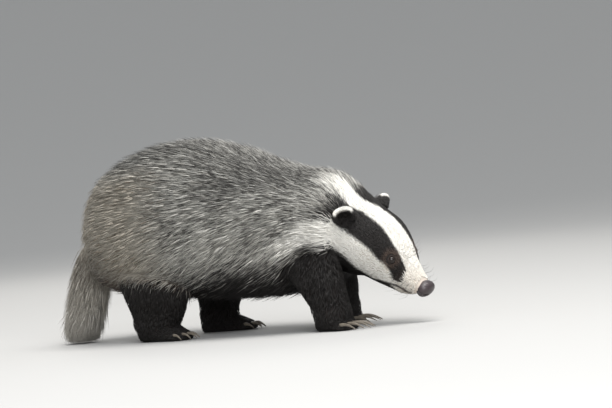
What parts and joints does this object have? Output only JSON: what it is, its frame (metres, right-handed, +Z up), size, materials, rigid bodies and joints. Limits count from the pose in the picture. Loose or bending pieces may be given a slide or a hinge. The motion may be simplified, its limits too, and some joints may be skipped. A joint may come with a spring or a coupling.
{
  "type": "badger model",
  "caption": "Still life-size european badger in mid-walk: arched back, head carried low and forward, round ears, black and white striped face, long claws and a brush of a tail that hangs down.",
  "frame": {"origin": "on the floor, under the middle of the whole animal's box", "axes": "+X the way the animal faces, +Y its left side, +Z up"},
  "size_m": [0.5216, 0.2218, 0.2564],
  "materials": {
    "grizzled_coat": "long bristly salt and pepper guard hair",
    "neck_coat": "grey guard hair over a dark throat",
    "tail_coat": "long pale creamy grey hair",
    "face_fur": "short fur, white with two black stripes",
    "ear_fur": "short black fur with a white rim",
    "leg_fur": "black fur",
    "paw_fur": "short black fur",
    "nose_leather": "moist pebbled skin",
    "eye": "wet and dark",
    "claw_horn": "smooth horn, paler to the tip"
  },
  "bodies": {
    "root": {"torso": "grizzled_coat", "neck": "neck_coat", "tail": "tail_coat", "head": "face_fur", "nose": "nose_leather", "ear_left": "ear_fur", "ear_right": "ear_fur", "eye_left": "eye", "eye_right": "eye", "leg_front_left": "leg_fur", "leg_front_right": "leg_fur", "leg_hind_left": "leg_fur", "leg_hind_right": "leg_fur", "paw_front_left": "paw_fur", "paw_front_right": "paw_fur", "paw_hind_left": "paw_fur", "paw_hind_right": "paw_fur", "claw_front_left_1": "claw_horn", "claw_front_left_2": "claw_horn", "claw_front_left_3": "claw_horn", "claw_front_left_4": "claw_horn", "claw_front_left_5": "claw_horn", "claw_front_right_1": "claw_horn", "claw_front_right_2": "claw_horn", "claw_front_right_3": "claw_horn", "claw_front_right_4": "claw_horn", "claw_front_right_5": "claw_horn", "claw_hind_left_1": "claw_horn", "claw_hind_left_2": "claw_horn", "claw_hind_left_3": "claw_horn", "claw_hind_left_4": "claw_horn", "claw_hind_left_5": "claw_horn", "claw_hind_right_1": "claw_horn", "claw_hind_right_2": "claw_horn", "claw_hind_right_3": "claw_horn", "claw_hind_right_4": "claw_horn", "claw_hind_right_5": "claw_horn"}
  },
  "joints": []
}
